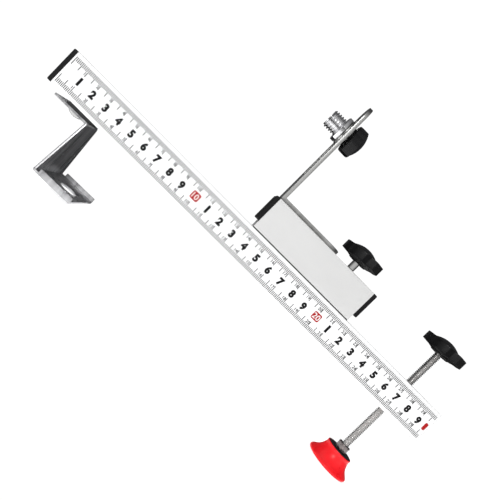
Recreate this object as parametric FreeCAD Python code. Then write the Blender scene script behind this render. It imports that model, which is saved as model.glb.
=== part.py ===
import FreeCAD, Part
import math
import os

# Guide rail that holds an angle grinder for cutting tiles.
#
# +X runs along the rail, from the hook end to the clamp end, +Z is up towards the
# bracket, and the scale is on the -Y side. The origin is the centre of the footprint,
# on the plane that the suction cup's rim stands on. Lengths are in millimetres.
# Screw threads are plain cylinders at their major diameter.

Vector = FreeCAD.Vector
AXIS_X = Vector(1, 0, 0)
AXIS_Z = Vector(0, 0, 1)

# --- driving dimensions -------------------------------------------------------

# rail: one extrusion with a T-slot along the top and another along the bottom
RAIL_LENGTH = 300.0
RAIL_WIDTH = 22.0
RAIL_HEIGHT = 23.0
RAIL_MID_Z = 61.0
EDGE_RADIUS = 0.8
SLOT_MOUTH = 10.0
SLOT_LIP = 1.8
CHANNEL_WIDTH = 16.0
CHANNEL_HEIGHT = 3.8
RAIL_WEB = 1.6
RAIL_WALL = 1.6
END_CAP_THICKNESS = 3.0

# scale: a self-adhesive tape on the front face
TAPE_WIDTH = 19.0
TAPE_THICKNESS = 0.25
TAPE_START_GAP = 0.2
TAPE_END_GAP = 1.3

# slider block, its caps and its T-foot
BLOCK_LENGTH = 79.0
BLOCK_LEFT_X = -11.3
BLOCK_HEIGHT = 22.4
BLOCK_WALL = 1.6
BLOCK_BASE_HEIGHT = 4.4
BLOCK_CAP_THICKNESS = 2.8
FOOT_THICKNESS = 2.2
FOOT_SIDE_CLEARANCE = 0.4
FOOT_LIP_CLEARANCE = 0.2
STEM_CLEARANCE = 0.3
GLIDE_THICKNESS = 0.5
GLIDE_WIDTH = 5.2

# angle bracket
BRACKET_THICKNESS = 2.5
BRACKET_WIDTH = 20.0
BRACKET_HEIGHT = 75.0
BRACKET_FOOT_LENGTH = 48.2
BRACKET_CORNER_RADIUS = 8.5
BRACKET_BEND_RADIUS = 1.2
BRACKET_SLOT_WIDTH = 6.4
BRACKET_SLOT_LOW = 20.1
BRACKET_SLOT_HIGH = 61.7
BRACKET_SCREW_X = (2.0, 24.0)

# hook under the left end
HOOK_THICKNESS = 1.5
HOOK_BEND_RADIUS = 1.4
HOOK_FLANGE_LEFT_X = -142.6
HOOK_LEG_X = -118.0
HOOK_FLANGE_TOP_Z = 47.5
HOOK_FOOT_TOP_Z = 10.8
HOOK_FOOT_LENGTH = 25.3
HOOK_TOP_WIDTH = 21.3
HOOK_FOOT_WIDTH = 43.4
HOOK_RIM_HEIGHT = 2.4
HOOK_RIM_FROM_LEG = 2.3
HOOK_HOLE_RADIUS = 5.5
HOOK_HOLE_FROM_LEG = 14.7
HOOK_SCREW_X = -130.6
HOOK_PAD_LEFT_X = -134.0

# clamp screw and suction cup under the right end
CLAMP_X = 127.9
CLAMP_KNOB_Z = 97.9
CUP_RIM_RADIUS = 15.1
CUP_COLLAR_RADIUS = 9.3
CUP_HEIGHT = 11.2
CUP_HOLLOW_DEPTH = 5.0
CORE_RADIUS = 5.5
DISC_RADIUS = 8.7
DISC_THICKNESS = 0.8

# lock screw through the slider block
LOCK_X = 49.6
LOCK_KNOB_Z = 101.6
PAD_RADIUS = 3.2
PAD_HEIGHT = 3.0
PAD_SOCKET_DEPTH = 1.8

# threaded adapter for the grinder's side-handle socket
ADAPTER_Z = 150.2
ADAPTER_THREAD_RADIUS = 6.0
ADAPTER_THREAD_LENGTH = 8.8
ADAPTER_HEX_THICKNESS = 3.2
ADAPTER_HEX_FLATS = 15.2
ADAPTER_BORE_DEPTH = 9.5
BOLT_TIP_GAP = 1.0
ADAPTER_WASHER_RADIUS = 8.4
ADAPTER_WASHER_THICKNESS = 0.9
KNOB_WASHER_RADIUS = 6.2
KNOB_WASHER_THICKNESS = 0.5

# fasteners and knobs
M5_RADIUS = 2.5
M6_RADIUS = 3.0
RUNNING_GAP = 0.05
CLEARANCE_HOLE_RADIUS = 2.75
M5_NUT_FLATS = 8.0
M5_NUT_HEIGHT = 4.5
SQUARE_NUT_SIDE = 15.2
SQUARE_NUT_HEIGHT = 3.4
CSK_HEAD_RADIUS = 5.0
DOME_HEAD_RADIUS = 5.6
DOME_HEAD_HEIGHT = 2.3
KNOB_HEIGHT = 10.6
KNOB_SPAN = 29.0
KNOB_BASE_RADIUS = 6.4
KNOB_CROWN_RADIUS = 9.6
KNOB_SKIRT_HEIGHT = 0.4
KNOB_FLARE_HEIGHT = 3.4
KNOB_SHOULDER_HEIGHT = 7.4
KNOB_BORE_DEPTH = 7.0
WING_LOW = 1.9
WING_DEPTH = 5.8
WING_TIP_WIDTH = 7.6
WING_ROOT_WIDTH = 13.2
CLAMP_KNOB_SPIN = -60.0
LOCK_KNOB_SPIN = -53.0
ADAPTER_KNOB_SPIN = -60.0

# --- places worked out from them ----------------------------------------------

RAIL_LEFT_X = (END_CAP_THICKNESS - RAIL_LENGTH) / 2
RAIL_RIGHT_X = RAIL_LEFT_X + RAIL_LENGTH
RAIL_TOP_Z = RAIL_MID_Z + RAIL_HEIGHT / 2
RAIL_BOTTOM_Z = RAIL_MID_Z - RAIL_HEIGHT / 2
LIP_TOP_Z = RAIL_TOP_Z - SLOT_LIP
CHANNEL_FLOOR_Z = LIP_TOP_Z - CHANNEL_HEIGHT
LOWER_LIP_Z = RAIL_BOTTOM_Z + SLOT_LIP
CHAMBER_HALF_HEIGHT = RAIL_HEIGHT / 2 - SLOT_LIP - CHANNEL_HEIGHT - RAIL_WEB
CHAMBER_HALF_WIDTH = RAIL_WIDTH / 2 - RAIL_WALL

BLOCK_RIGHT_X = BLOCK_LEFT_X + BLOCK_LENGTH
BLOCK_BOTTOM_Z = RAIL_TOP_Z + GLIDE_THICKNESS
BLOCK_TOP_Z = BLOCK_BOTTOM_Z + BLOCK_HEIGHT
BLOCK_WEB_Z = BLOCK_BOTTOM_Z + BLOCK_BASE_HEIGHT
BLOCK_FLOOR_Z = BLOCK_WEB_Z + BLOCK_WALL
BLOCK_CEILING_Z = BLOCK_TOP_Z - BLOCK_WALL
BLOCK_HALF_WIDTH = RAIL_WIDTH / 2

BRACKET_LEFT_X = BLOCK_LEFT_X - 0.3
BRACKET_RIGHT_X = BRACKET_LEFT_X + BRACKET_THICKNESS
BRACKET_TOP_Z = BLOCK_TOP_Z + BRACKET_THICKNESS

DISC_TOP_Z = CUP_HEIGHT + DISC_THICKNESS
CORE_FLOOR_Z = CUP_HOLLOW_DEPTH + 1.0
ROD_TIP_Z = CORE_FLOOR_Z + 0.7
LOCK_TIP_Z = CHANNEL_FLOOR_Z + PAD_HEIGHT - PAD_SOCKET_DEPTH

ADAPTER_WASHER_X = BRACKET_LEFT_X - ADAPTER_WASHER_THICKNESS
ADAPTER_KNOB_X = BRACKET_RIGHT_X + KNOB_WASHER_THICKNESS


# --- shapes used more than once -----------------------------------------------

def box(x0, x1, y0, y1, z0, z1):
    """Block between two corners."""
    return Part.makeBox(x1 - x0, y1 - y0, z1 - z0, Vector(x0, y0, z0))


def rod(radius, length, base, direction=AXIS_Z):
    """Cylinder from base along direction."""
    return Part.makeCylinder(radius, length, base, direction)


def edges_along(shape, axis):
    """Straight edges of a shape that run along an axis."""
    found = []
    for edge in shape.Edges:
        straight = edge.Curve.TypeId == "Part::GeomLine"
        if straight and abs(edge.tangentAt(edge.FirstParameter).dot(axis)) > 0.999:
            found.append(edge)
    return found


def edges_near(shape, point, side_distance):
    """Edges whose middle is at a point, or a set distance from it along Y."""
    found = []
    for edge in shape.Edges:
        offset = edge.CenterOfMass - point
        if abs(offset.x) < 0.01 and abs(offset.z) < 0.01 and abs(abs(offset.y) - side_distance) < 0.01:
            found.append(edge)
    return found


def bar(x0, x1, half_width, z0, z1, radius):
    """Bar along X with its four long edges rounded."""
    solid = box(x0, x1, -half_width, half_width, z0, z1)
    return solid.makeFillet(radius, edges_along(solid, AXIS_X))


def polygon_prism(points, direction):
    """Prism over a flat outline."""
    face = Part.Face(Part.makePolygon(points + [points[0]]))
    return face.extrude(direction)


def hexagon(flats, height, centre, direction=AXIS_Z):
    """Hexagonal prism with its corners chamfered by a cone at each end."""
    corner = flats / math.sqrt(3)
    points = []
    for step in range(6):
        angle = math.radians(60 * step)
        points.append(Vector(corner * math.cos(angle), corner * math.sin(angle), 0))
    prism = polygon_prism(points, Vector(0, 0, height))
    rim = 0.5
    low = Part.makeCone(corner - rim, corner + height, height + rim)
    high = Part.makeCone(corner + height, corner - rim, height + rim, Vector(0, 0, -rim))
    return placed(prism.common(low).common(high), centre, direction)


def placed(shape, base, direction=AXIS_Z, spin=0.0):
    """Copy of a shape built along +Z, spun about +Z and stood along a direction."""
    result = shape.copy()
    turn = FreeCAD.Rotation(AXIS_Z, direction).multiply(FreeCAD.Rotation(AXIS_Z, spin))
    result.Placement = FreeCAD.Placement(base, turn).multiply(shape.Placement)
    return result


def revolved(edges):
    """Solid of revolution about +Z from a closed outline in the XZ plane."""
    face = Part.Face(Part.Wire(edges))
    return face.revolve(Vector(0, 0, 0), AXIS_Z, 360)


def line(start, end):
    """Straight edge between two (radius, height) points."""
    return Part.LineSegment(Vector(start[0], 0, start[1]), Vector(end[0], 0, end[1])).toShape()


def arc(start, middle, end):
    """Circular edge through three (radius, height) points."""
    corners = [Vector(point[0], 0, point[1]) for point in (start, middle, end)]
    return Part.Arc(corners[0], corners[1], corners[2]).toShape()


def ring(outer, inner, thickness, base, direction=AXIS_Z):
    """Flat washer."""
    hole = rod(inner, thickness, base, direction)
    return rod(outer, thickness, base, direction).cut(hole)


def wing_knob(base, direction, spin, bore_radius):
    """Two-winged knob: domed hub on a round base, with a blind bore for its screw."""
    shoulder = (KNOB_CROWN_RADIUS, KNOB_SHOULDER_HEIGHT)
    rise = KNOB_HEIGHT - KNOB_SHOULDER_HEIGHT
    dome_radius = (KNOB_CROWN_RADIUS ** 2 + rise ** 2) / (2 * rise)
    half_way = KNOB_CROWN_RADIUS / 2
    crown_middle = (half_way, KNOB_HEIGHT - dome_radius + math.sqrt(dome_radius ** 2 - half_way ** 2))
    hub = revolved([
        line((0, 0), (KNOB_BASE_RADIUS, 0)),
        line((KNOB_BASE_RADIUS, 0), (KNOB_BASE_RADIUS, KNOB_SKIRT_HEIGHT)),
        line((KNOB_BASE_RADIUS, KNOB_SKIRT_HEIGHT), (KNOB_CROWN_RADIUS, KNOB_FLARE_HEIGHT)),
        line((KNOB_CROWN_RADIUS, KNOB_FLARE_HEIGHT), shoulder),
        arc(shoulder, crown_middle, (0, KNOB_HEIGHT)),
        line((0, KNOB_HEIGHT), (0, 0)),
    ])
    reach = KNOB_SPAN / 2
    tip = WING_TIP_WIDTH / 2
    root = WING_ROOT_WIDTH / 2
    plan = [
        Vector(-reach, -tip, WING_LOW), Vector(0, -root, WING_LOW), Vector(reach, -tip, WING_LOW),
        Vector(reach, tip, WING_LOW), Vector(0, root, WING_LOW), Vector(-reach, tip, WING_LOW),
    ]
    wings = polygon_prism(plan, Vector(0, 0, WING_DEPTH))
    tips = [edge for edge in edges_along(wings, AXIS_Z) if abs(edge.CenterOfMass.x) > reach - 1]
    wings = wings.makeFillet(1.4, tips)
    bore = rod(bore_radius + RUNNING_GAP, KNOB_BORE_DEPTH, Vector(0, 0, 0))
    return placed(hub.fuse(wings).cut(bore), base, direction, spin)


def square_nut(centre_x, bottom_z):
    """Square nut that fills a T-slot channel, with its tapped hole."""
    half = SQUARE_NUT_SIDE / 2
    nut = box(centre_x - half, centre_x + half, -half, half, bottom_z, bottom_z + SQUARE_NUT_HEIGHT)
    hole = rod(M5_RADIUS + RUNNING_GAP, SQUARE_NUT_HEIGHT, Vector(centre_x, 0, bottom_z))
    return nut.cut(hole)


# --- rail and what is fixed to it ---------------------------------------------

def make_rail():
    rail = bar(RAIL_LEFT_X, RAIL_RIGHT_X, RAIL_WIDTH / 2, RAIL_BOTTOM_Z, RAIL_TOP_Z, EDGE_RADIUS)
    mouth = SLOT_MOUTH / 2
    channel = CHANNEL_WIDTH / 2
    lower_floor = LOWER_LIP_Z + CHANNEL_HEIGHT
    hollows = [
        box(RAIL_LEFT_X, RAIL_RIGHT_X, -mouth, mouth, LIP_TOP_Z, RAIL_TOP_Z),
        box(RAIL_LEFT_X, RAIL_RIGHT_X, -channel, channel, CHANNEL_FLOOR_Z, LIP_TOP_Z),
        box(RAIL_LEFT_X, RAIL_RIGHT_X, -mouth, mouth, RAIL_BOTTOM_Z, LOWER_LIP_Z),
        box(RAIL_LEFT_X, RAIL_RIGHT_X, -channel, channel, LOWER_LIP_Z, lower_floor),
        bar(RAIL_LEFT_X, RAIL_RIGHT_X, CHAMBER_HALF_WIDTH, RAIL_MID_Z - CHAMBER_HALF_HEIGHT,
            RAIL_MID_Z + CHAMBER_HALF_HEIGHT, EDGE_RADIUS),
        rod(CLEARANCE_HOLE_RADIUS, RAIL_HEIGHT, Vector(CLAMP_X, 0, RAIL_BOTTOM_Z)),
    ]
    for hollow in hollows:
        rail = rail.cut(hollow)
    return rail


def make_rail_end_cap():
    outer_x = RAIL_LEFT_X - END_CAP_THICKNESS
    plate = bar(outer_x, RAIL_LEFT_X, RAIL_WIDTH / 2, RAIL_BOTTOM_Z, RAIL_TOP_Z, EDGE_RADIUS)
    face_edges = [edge for edge in plate.Edges if abs(edge.CenterOfMass.x - outer_x) < 0.01]
    plate = plate.makeFillet(0.7, face_edges)
    fit = 0.1
    plug = box(RAIL_LEFT_X, RAIL_LEFT_X + 8, fit - CHAMBER_HALF_WIDTH, CHAMBER_HALF_WIDTH - fit,
               RAIL_MID_Z - CHAMBER_HALF_HEIGHT + fit, RAIL_MID_Z + CHAMBER_HALF_HEIGHT - fit)
    plug = plug.makeFillet(EDGE_RADIUS, edges_along(plug, AXIS_X))
    return plate.fuse(plug)


def make_scale_tape():
    front = -RAIL_WIDTH / 2
    return box(RAIL_LEFT_X + TAPE_START_GAP, RAIL_RIGHT_X - TAPE_END_GAP, front - TAPE_THICKNESS, front,
               RAIL_MID_Z - TAPE_WIDTH / 2, RAIL_MID_Z + TAPE_WIDTH / 2)


def make_clamp_slot_nuts():
    upper = square_nut(CLAMP_X, CHANNEL_FLOOR_Z)
    lower = square_nut(CLAMP_X, LOWER_LIP_Z)
    return Part.makeCompound([upper, lower])


# --- hook ---------------------------------------------------------------------

def make_hook_plate():
    """Bent sheet: flange under the rail, a widening leg and a foot with raised sides."""
    leg_outer_x = HOOK_LEG_X - HOOK_THICKNESS
    flange_bottom = HOOK_FLANGE_TOP_Z - HOOK_THICKNESS
    foot_bottom = HOOK_FOOT_TOP_Z - HOOK_THICKNESS
    foot_end = HOOK_LEG_X + HOOK_FOOT_LENGTH
    top_half = HOOK_TOP_WIDTH / 2
    foot_half = HOOK_FOOT_WIDTH / 2

    flange = box(HOOK_FLANGE_LEFT_X, HOOK_LEG_X, -top_half, top_half, flange_bottom, HOOK_FLANGE_TOP_Z)
    leg = polygon_prism([
        Vector(leg_outer_x, -top_half, HOOK_FLANGE_TOP_Z), Vector(leg_outer_x, top_half, HOOK_FLANGE_TOP_Z),
        Vector(leg_outer_x, foot_half, foot_bottom), Vector(leg_outer_x, -foot_half, foot_bottom),
    ], Vector(HOOK_THICKNESS, 0, 0))
    foot = box(leg_outer_x, foot_end, -foot_half, foot_half, foot_bottom, HOOK_FOOT_TOP_Z)
    plate = flange.fuse(leg).fuse(foot).removeSplitter()

    lower_bend = edges_near(plate, Vector(leg_outer_x, 0, foot_bottom), 0)
    upper_bend = edges_near(plate, Vector(HOOK_LEG_X, 0, HOOK_FLANGE_TOP_Z), 0)
    plate = plate.makeFillet(HOOK_BEND_RADIUS, lower_bend + upper_bend)

    rim_start = HOOK_LEG_X + HOOK_RIM_FROM_LEG
    for side in (-1, 1):
        outer = side * foot_half
        inner = side * (foot_half - HOOK_THICKNESS)
        rim = box(rim_start, foot_end, min(outer, inner), max(outer, inner), HOOK_FOOT_TOP_Z,
                  HOOK_FOOT_TOP_Z + HOOK_RIM_HEIGHT)
        plate = plate.fuse(rim)
    foot_hole = rod(HOOK_HOLE_RADIUS, HOOK_THICKNESS,
                    Vector(HOOK_LEG_X + HOOK_HOLE_FROM_LEG, 0, foot_bottom))
    screw_hole = rod(CLEARANCE_HOLE_RADIUS, HOOK_THICKNESS, Vector(HOOK_SCREW_X, 0, flange_bottom))
    return plate.removeSplitter().cut(foot_hole).cut(screw_hole)


def make_hook_spacer_pad():
    pad = box(HOOK_PAD_LEFT_X, HOOK_LEG_X - 0.2, -HOOK_TOP_WIDTH / 2, HOOK_TOP_WIDTH / 2,
              HOOK_FLANGE_TOP_Z, RAIL_BOTTOM_Z)
    hole = rod(CLEARANCE_HOLE_RADIUS, RAIL_BOTTOM_Z - HOOK_FLANGE_TOP_Z,
               Vector(HOOK_SCREW_X, 0, HOOK_FLANGE_TOP_Z))
    return pad.cut(hole)


def make_hook_screw():
    """Domed-head screw, its head below the flange and its tip in the slot nut."""
    under_head = HOOK_FLANGE_TOP_Z - HOOK_THICKNESS
    tip = LOWER_LIP_Z + SQUARE_NUT_HEIGHT
    dome_radius = (DOME_HEAD_RADIUS ** 2 + DOME_HEAD_HEIGHT ** 2) / (2 * DOME_HEAD_HEIGHT)
    centre_z = dome_radius - DOME_HEAD_HEIGHT
    half_way_z = centre_z - math.sqrt(dome_radius ** 2 - (DOME_HEAD_RADIUS / 2) ** 2)
    head = revolved([
        line((0, 0), (DOME_HEAD_RADIUS, 0)),
        arc((DOME_HEAD_RADIUS, 0), (DOME_HEAD_RADIUS / 2, half_way_z), (0, -DOME_HEAD_HEIGHT)),
        line((0, -DOME_HEAD_HEIGHT), (0, 0)),
    ])
    socket = hexagon(3.0, 1.4, Vector(0, 0, -DOME_HEAD_HEIGHT - 0.2))
    head = placed(head.cut(socket), Vector(HOOK_SCREW_X, 0, under_head))
    shank = rod(M5_RADIUS, tip - under_head, Vector(HOOK_SCREW_X, 0, under_head))
    return head.fuse(shank)


def make_hook_slot_nut():
    return square_nut(HOOK_SCREW_X, LOWER_LIP_Z)


# --- slider block and what is fixed to it -------------------------------------

def make_slider_block():
    """Extrusion: closed chamber above, and a T-foot below that runs in the rail's slot."""
    left = BLOCK_LEFT_X
    right = BLOCK_RIGHT_X
    block = bar(left, right, BLOCK_HALF_WIDTH, BLOCK_BOTTOM_Z, BLOCK_TOP_Z, EDGE_RADIUS)
    inner = BLOCK_HALF_WIDTH - BLOCK_WALL
    stem = SLOT_MOUTH / 2 - STEM_CLEARANCE
    foot_half = CHANNEL_WIDTH / 2 - FOOT_SIDE_CLEARANCE
    foot_top = LIP_TOP_Z - FOOT_LIP_CLEARANCE
    block = block.cut(bar(left, right, inner, BLOCK_FLOOR_Z, BLOCK_CEILING_Z, EDGE_RADIUS))
    for side in (-1, 1):
        near = side * stem
        far = side * (BLOCK_HALF_WIDTH - GLIDE_WIDTH - 0.2)
        relief = box(left, right, min(near, far), max(near, far), BLOCK_BOTTOM_Z, BLOCK_WEB_Z)
        block = block.cut(relief)
    block = block.fuse(box(left, right, -stem, stem, foot_top - FOOT_THICKNESS, BLOCK_WEB_Z))
    block = block.fuse(box(left, right, -foot_half, foot_half, foot_top - FOOT_THICKNESS, foot_top))
    block = block.removeSplitter()

    pad_hole = rod(PAD_RADIUS + 0.2, BLOCK_WEB_Z - CHANNEL_FLOOR_Z, Vector(LOCK_X, 0, CHANNEL_FLOOR_Z))
    insert_hole = rod(4.0, BLOCK_WALL, Vector(LOCK_X, 0, BLOCK_WEB_Z))
    top_hole = rod(CLEARANCE_HOLE_RADIUS, BLOCK_WALL, Vector(LOCK_X, 0, BLOCK_CEILING_Z))
    block = block.cut(pad_hole).cut(insert_hole).cut(top_hole)
    for screw_x in BRACKET_SCREW_X:
        block = block.cut(rod(CLEARANCE_HOLE_RADIUS, BLOCK_WALL, Vector(screw_x, 0, BLOCK_CEILING_Z)))
    return block


def make_slider_cap(face_x, outward):
    """Plastic cap for one end of the block's chamber, with its plug."""
    outer_x = face_x + outward * BLOCK_CAP_THICKNESS
    inner_x = face_x - outward * 6.0
    plate = bar(min(face_x, outer_x), max(face_x, outer_x), BLOCK_HALF_WIDTH, BLOCK_WEB_Z,
                BLOCK_TOP_Z, EDGE_RADIUS)
    face_edges = [edge for edge in plate.Edges if abs(edge.CenterOfMass.x - outer_x) < 0.01]
    plate = plate.makeFillet(0.7, face_edges)
    fit = 0.1
    half = BLOCK_HALF_WIDTH - BLOCK_WALL - fit
    plug = bar(min(face_x, inner_x), max(face_x, inner_x), half, BLOCK_FLOOR_Z + fit,
               BLOCK_CEILING_Z - fit, EDGE_RADIUS)
    hollow = box(min(face_x, inner_x), max(face_x, inner_x), 1.6 - half, half - 1.6,
                 BLOCK_FLOOR_Z + 1.7, BLOCK_CEILING_Z - 1.7)
    return plate.fuse(plug.cut(hollow))


def make_glide_strips():
    strips = []
    for side in (-1, 1):
        outer = side * (BLOCK_HALF_WIDTH - 0.3)
        inner = side * (BLOCK_HALF_WIDTH - GLIDE_WIDTH)
        strips.append(box(BLOCK_LEFT_X, BLOCK_RIGHT_X, min(outer, inner), max(outer, inner),
                          RAIL_TOP_Z, BLOCK_BOTTOM_Z))
    return Part.makeCompound(strips)


def make_angle_bracket():
    """Bent flat bar: foot on the block, leg with a height slot, and round ends."""
    half = BRACKET_WIDTH / 2
    foot_end = BRACKET_LEFT_X + BRACKET_FOOT_LENGTH
    leg_top = BLOCK_TOP_Z + BRACKET_HEIGHT
    foot = box(BRACKET_LEFT_X, foot_end, -half, half, BLOCK_TOP_Z, BRACKET_TOP_Z)
    leg = box(BRACKET_LEFT_X, BRACKET_RIGHT_X, -half, half, BLOCK_TOP_Z, leg_top)
    bracket = foot.fuse(leg).removeSplitter()
    foot_corners = edges_near(bracket, Vector(foot_end, 0, BLOCK_TOP_Z + BRACKET_THICKNESS / 2), half)
    leg_corners = edges_near(bracket, Vector(BRACKET_LEFT_X + BRACKET_THICKNESS / 2, 0, leg_top), half)
    bracket = bracket.makeFillet(BRACKET_CORNER_RADIUS, foot_corners + leg_corners)
    outer_bend = edges_near(bracket, Vector(BRACKET_LEFT_X, 0, BLOCK_TOP_Z), 0)
    bracket = bracket.makeFillet(BRACKET_BEND_RADIUS, outer_bend)

    slot_half = BRACKET_SLOT_WIDTH / 2
    low_z = BRACKET_TOP_Z + BRACKET_SLOT_LOW
    high_z = BRACKET_TOP_Z + BRACKET_SLOT_HIGH
    slot = box(BRACKET_LEFT_X, BRACKET_RIGHT_X, -slot_half, slot_half, low_z, high_z)
    for end_z in (low_z, high_z):
        slot = slot.fuse(rod(slot_half, BRACKET_THICKNESS, Vector(BRACKET_LEFT_X, 0, end_z), AXIS_X))
    bracket = bracket.cut(slot)
    for screw_x in BRACKET_SCREW_X:
        sink = Part.makeCone(CLEARANCE_HOLE_RADIUS, CSK_HEAD_RADIUS + 0.1, BRACKET_THICKNESS,
                             Vector(screw_x, 0, BLOCK_TOP_Z))
        bracket = bracket.cut(sink)
    return bracket


def make_bracket_screws():
    """Countersunk screws, heads flush with the bracket's foot, each with a hexagon socket."""
    screws = []
    shank_length = BLOCK_WALL + 5.0
    for screw_x in BRACKET_SCREW_X:
        head = Part.makeCone(M5_RADIUS, CSK_HEAD_RADIUS, BRACKET_THICKNESS, Vector(screw_x, 0, BLOCK_TOP_Z))
        shank = rod(M5_RADIUS, shank_length, Vector(screw_x, 0, BLOCK_TOP_Z - shank_length))
        socket = hexagon(3.0, 2.0, Vector(screw_x, 0, BRACKET_TOP_Z - 1.5))
        screws.append(head.fuse(shank).cut(socket))
    return Part.makeCompound(screws)


def make_bracket_nut_strip():
    thickness = 3.0
    strip = box(BRACKET_SCREW_X[0] - 6, BRACKET_SCREW_X[1] + 6, -7, 7, BLOCK_CEILING_Z - thickness,
                BLOCK_CEILING_Z)
    for screw_x in BRACKET_SCREW_X:
        base = Vector(screw_x, 0, BLOCK_CEILING_Z - thickness)
        strip = strip.cut(rod(M5_RADIUS + RUNNING_GAP, thickness, base))
    return strip


def make_lock_insert():
    """Flanged brass bush in the block's floor, tapped for the lock screw."""
    flange = rod(6.0, 1.2, Vector(LOCK_X, 0, BLOCK_FLOOR_Z))
    sleeve = rod(4.0, BLOCK_WALL + 5.0, Vector(LOCK_X, 0, BLOCK_WEB_Z))
    bore = rod(M5_RADIUS + RUNNING_GAP, BLOCK_WALL + 5.0, Vector(LOCK_X, 0, BLOCK_WEB_Z))
    return flange.fuse(sleeve).cut(bore)


# --- lock screw ---------------------------------------------------------------

def make_lock_pad():
    """Nylon pad on the screw's tip, which presses on the floor of the rail's slot."""
    pad = rod(PAD_RADIUS, PAD_HEIGHT, Vector(LOCK_X, 0, CHANNEL_FLOOR_Z))
    socket = rod(M5_RADIUS + RUNNING_GAP, PAD_SOCKET_DEPTH, Vector(LOCK_X, 0, LOCK_TIP_Z))
    return pad.cut(socket)


def make_lock_stud():
    length = LOCK_KNOB_Z + KNOB_BORE_DEPTH - LOCK_TIP_Z
    return rod(M5_RADIUS, length, Vector(LOCK_X, 0, LOCK_TIP_Z))


# --- clamp screw and suction cup ----------------------------------------------

def make_clamp_rod():
    length = CLAMP_KNOB_Z + KNOB_BORE_DEPTH - ROD_TIP_Z
    return rod(M5_RADIUS, length, Vector(CLAMP_X, 0, ROD_TIP_Z))


def make_cup_nut():
    nut = hexagon(M5_NUT_FLATS, M5_NUT_HEIGHT, Vector(CLAMP_X, 0, DISC_TOP_Z))
    hole = rod(M5_RADIUS + RUNNING_GAP, M5_NUT_HEIGHT, Vector(CLAMP_X, 0, DISC_TOP_Z))
    return nut.cut(hole)


def make_cup_disc():
    return ring(DISC_RADIUS, M5_RADIUS + RUNNING_GAP, DISC_THICKNESS, Vector(CLAMP_X, 0, CUP_HEIGHT))


def make_suction_cup():
    """Rubber cup: collar, flared skirt, flat rim and a shallow hollow underneath."""
    waist = (9.4, 8.8)
    skirt_top = (CUP_RIM_RADIUS - 0.35, 1.8)
    rim_outer = (CUP_RIM_RADIUS - 0.3, 0.0)
    rim_inner = (CUP_RIM_RADIUS - 1.3, 0.0)
    hollow_edge = (6.0, CUP_HOLLOW_DEPTH)
    shape = revolved([
        line((0, CUP_HOLLOW_DEPTH), hollow_edge),
        arc(hollow_edge, (10.4, 2.3), rim_inner),
        line(rim_inner, rim_outer),
        arc(rim_outer, (CUP_RIM_RADIUS, 0.9), skirt_top),
        arc(skirt_top, (10.9, 5.3), waist),
        line(waist, (CUP_COLLAR_RADIUS + 0.2, CUP_HEIGHT - 0.6)),
        line((CUP_COLLAR_RADIUS + 0.2, CUP_HEIGHT - 0.6), (CUP_COLLAR_RADIUS - 0.3, CUP_HEIGHT)),
        line((CUP_COLLAR_RADIUS - 0.3, CUP_HEIGHT), (CORE_RADIUS, CUP_HEIGHT)),
        line((CORE_RADIUS, CUP_HEIGHT), (CORE_RADIUS, CORE_FLOOR_Z)),
        line((CORE_RADIUS, CORE_FLOOR_Z), (0, CORE_FLOOR_Z)),
        line((0, CORE_FLOOR_Z), (0, CUP_HOLLOW_DEPTH)),
    ])
    return placed(shape, Vector(CLAMP_X, 0, 0))


def make_cup_core():
    """Metal socket moulded into the cup, in which the rod's end turns."""
    body = rod(CORE_RADIUS, CUP_HEIGHT - CORE_FLOOR_Z, Vector(CLAMP_X, 0, CORE_FLOOR_Z))
    bore = rod(M5_RADIUS + RUNNING_GAP, CUP_HEIGHT - ROD_TIP_Z, Vector(CLAMP_X, 0, ROD_TIP_Z))
    return body.cut(bore)


# --- adapter on the bracket ---------------------------------------------------

def make_threaded_adapter():
    """Hexagon collar and threaded stud, tapped from behind for the knob's bolt."""
    collar_x = ADAPTER_WASHER_X - ADAPTER_HEX_THICKNESS
    collar = hexagon(ADAPTER_HEX_FLATS, ADAPTER_HEX_THICKNESS, Vector(collar_x, 0, ADAPTER_Z), AXIS_X)
    stud = Part.makeCylinder(ADAPTER_THREAD_RADIUS, ADAPTER_THREAD_LENGTH)
    end_edges = [edge for edge in stud.Edges if edge.isClosed() and abs(edge.CenterOfMass.z) < 0.01]
    stud = stud.makeChamfer(0.5, end_edges)
    stud = placed(stud, Vector(collar_x - ADAPTER_THREAD_LENGTH, 0, ADAPTER_Z), AXIS_X)
    bore_base = Vector(ADAPTER_WASHER_X - ADAPTER_BORE_DEPTH, 0, ADAPTER_Z)
    bore = rod(M6_RADIUS + RUNNING_GAP, ADAPTER_BORE_DEPTH, bore_base, AXIS_X)
    return collar.fuse(stud).cut(bore)


def make_adapter_washer():
    base = Vector(ADAPTER_WASHER_X, 0, ADAPTER_Z)
    return ring(ADAPTER_WASHER_RADIUS, M6_RADIUS + 0.1, ADAPTER_WASHER_THICKNESS, base, AXIS_X)


def make_knob_washer():
    base = Vector(BRACKET_RIGHT_X, 0, ADAPTER_Z)
    return ring(KNOB_WASHER_RADIUS, M6_RADIUS + 0.1, KNOB_WASHER_THICKNESS, base, AXIS_X)


def make_adapter_bolt():
    tip = ADAPTER_WASHER_X - ADAPTER_BORE_DEPTH + BOLT_TIP_GAP
    length = ADAPTER_KNOB_X + KNOB_BORE_DEPTH - tip
    return rod(M6_RADIUS, length, Vector(tip, 0, ADAPTER_Z), AXIS_X)


def make_adapter_knob():
    return wing_knob(Vector(ADAPTER_KNOB_X, 0, ADAPTER_Z), AXIS_X, ADAPTER_KNOB_SPIN, M6_RADIUS)


# --- every node, by name ------------------------------------------------------

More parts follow.
